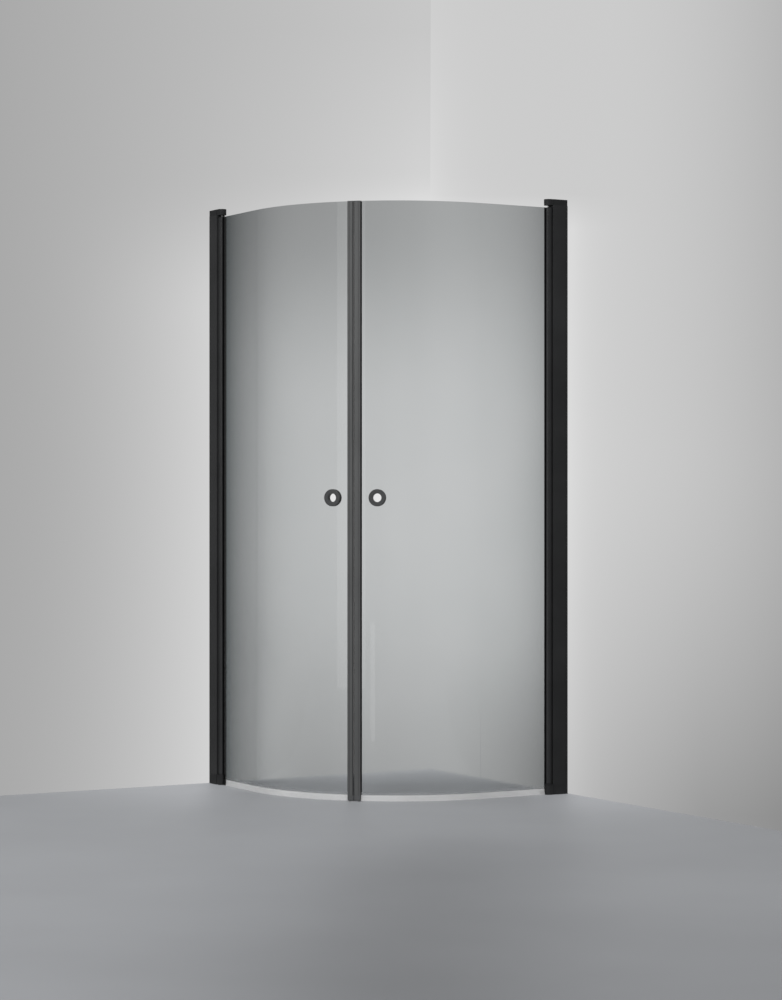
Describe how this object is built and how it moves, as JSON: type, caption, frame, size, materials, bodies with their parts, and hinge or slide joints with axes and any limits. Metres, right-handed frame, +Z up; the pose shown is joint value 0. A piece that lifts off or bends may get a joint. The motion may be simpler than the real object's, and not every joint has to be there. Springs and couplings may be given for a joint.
{
  "type": "corner shower enclosure",
  "caption": "Quadrant corner shower enclosure: curved frosted glass doors on pivot tubes at two wall jambs, closing on magnet strips, with ring handles and wiping seals.",
  "frame": {"origin": "on the floor, at the centre of the square that the enclosure's outside width takes along the two walls", "axes": "+Z up; +Y into the right-hand wall, whose plane is y = 0.45; -X into the left-hand wall, whose plane is x = -0.45; the room corner is at (-0.45, 0.45) and the doors bulge towards +X and -Y"},
  "size_m": [0.9, 0.9, 2],
  "materials": {
    "black_profile": "satin black powder coat on an aluminium extrusion",
    "black_cap": "satin black moulded plastic",
    "black_screw": "black passivated steel",
    "rubber": "soft black sealing rubber",
    "pin_steel": "ground stainless steel",
    "washer": "black low-friction plastic",
    "grey_profile": "dark grey satin anodised look",
    "grey_cap": "dark grey moulded plastic",
    "magnet": "dark flexible magnet strip",
    "clear_seal": "clear flexible extrusion, slightly milky",
    "ring": "dark grey satin metal",
    "frosted_glass": "grey satin-frosted toughened glass"
  },
  "bodies": {
    "jambs": {"wall_channel_left": "black_profile", "wall_channel_right": "black_profile", "adjusting_profile_left": "black_profile", "adjusting_profile_right": "black_profile", "lock_screws_left": "black_screw", "lock_screws_right": "black_screw", "hinge_seal_left": "rubber", "hinge_seal_right": "rubber", "top_cap_left": "black_cap", "top_cap_right": "black_cap", "top_cap_screw_left": "black_screw", "top_cap_screw_right": "black_screw", "foot_block_left": "black_cap", "foot_block_right": "black_cap", "foot_screw_left": "black_screw", "foot_screw_right": "black_screw", "top_pin_left": "pin_steel", "top_pin_right": "pin_steel", "bottom_pin_left": "pin_steel", "bottom_pin_right": "pin_steel", "thrust_washer_left": "washer", "thrust_washer_right": "washer"},
    "door_left": {"hinge_tube_left": "black_profile", "top_bush_left": "black_cap", "bottom_bush_left": "black_cap", "hinge_gasket_left": "rubber", "glass_left": "frosted_glass", "closing_gasket_left": "rubber", "closing_profile_left": "grey_profile", "closing_cap_left": "grey_cap", "closing_foot_left": "grey_cap", "magnet_strip_left": "magnet", "bottom_seal_left": "clear_seal", "handle_outer_left": "ring", "handle_inner_left": "ring", "handle_pads_left": "rubber"},
    "door_right": {"hinge_tube_right": "black_profile", "top_bush_right": "black_cap", "bottom_bush_right": "black_cap", "hinge_gasket_right": "rubber", "glass_right": "frosted_glass", "closing_gasket_right": "rubber", "closing_profile_right": "grey_profile", "closing_cap_right": "grey_cap", "closing_foot_right": "grey_cap", "magnet_strip_right": "magnet", "bottom_seal_right": "clear_seal", "handle_outer_right": "ring", "handle_inner_right": "ring", "handle_pads_right": "rubber"}
  },
  "joints": [
    {"name": "door_left_hinge", "type": "hinge", "parent": "jambs", "child": "door_left", "pos_m": [-0.383, -0.434, 0], "axis": [0, 0, -1], "range_deg": [-75, 90]},
    {"name": "door_right_hinge", "type": "hinge", "parent": "jambs", "child": "door_right", "pos_m": [0.434, 0.383, 0], "axis": [0, 0, 1], "range_deg": [-75, 90]}
  ]
}
